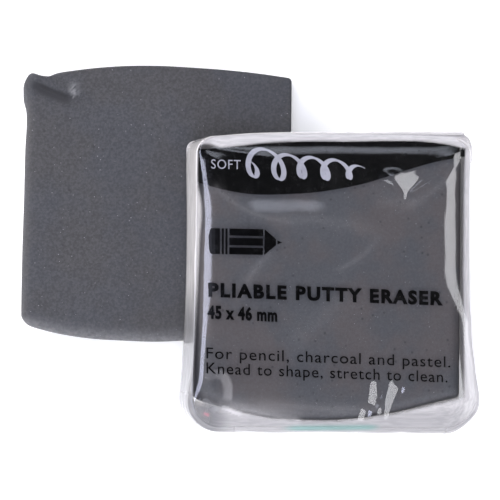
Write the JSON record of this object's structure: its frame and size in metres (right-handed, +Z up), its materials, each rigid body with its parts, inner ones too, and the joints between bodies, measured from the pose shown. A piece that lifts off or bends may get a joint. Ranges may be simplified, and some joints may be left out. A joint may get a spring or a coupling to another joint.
{
  "type": "kneadable eraser",
  "caption": "Kneadable putty eraser as sold: a bare grey slab with bowed ends, and a matching slab in a folded clear film wrapper with a dark header band.",
  "frame": {"origin": "on the table, under the middle of the set's bounding box", "axes": "+Z up; +X to the right across the fronts, from the bare slab to the wrapped one; +Y towards the printed header band"},
  "size_m": [0.075, 0.061, 0.0203],
  "materials": {
    "putty": "matte, dusty",
    "clear_film": "clear, glossy, creased",
    "black_ink": "printed ink",
    "white_ink": "printed ink"
  },
  "bodies": {
    "bare_eraser": {"bare_eraser_slab": "putty"},
    "wrapper": {"film_front_panel": "clear_film", "film_back_inner_ply": "clear_film", "film_back_outer_ply": "clear_film", "film_left_wall": "clear_film", "film_right_wall": "clear_film", "film_top_left_tuck": "clear_film", "film_top_right_tuck": "clear_film", "film_top_inner_flap": "clear_film", "film_bottom_left_fold": "clear_film", "film_bottom_right_fold": "clear_film", "film_bottom_inner_flap": "clear_film", "film_bottom_outer_flap": "clear_film", "printed_header_band": "black_ink", "printed_emblem": "black_ink", "printed_title": "black_ink", "printed_size_line": "black_ink", "printed_notes": "black_ink", "printed_flourish": "white_ink"},
    "wrapped_eraser": {"wrapped_eraser_slab": "putty"},
    "top_flap": {"film_top_outer_flap": "clear_film"}
  },
  "joints": [
    {"name": "pack_lift", "type": "slide", "parent": "bare_eraser", "child": "wrapper", "axis": [0, 0, 1], "range_m": [0, 0.04]},
    {"name": "slab_slide", "type": "slide", "parent": "wrapper", "child": "wrapped_eraser", "axis": [0, -1, 0], "range_m": [0, 0.055], "deforming": ["film_bottom_left_fold", "film_bottom_right_fold", "film_bottom_inner_flap", "film_bottom_outer_flap"]},
    {"name": "top_flap_fold", "type": "hinge", "parent": "wrapper", "child": "top_flap", "pos_m": [0.01441, 0.0188, 0.01418], "axis": [0.9644, 0, -0.2644], "range_deg": [0, 110]}
  ]
}
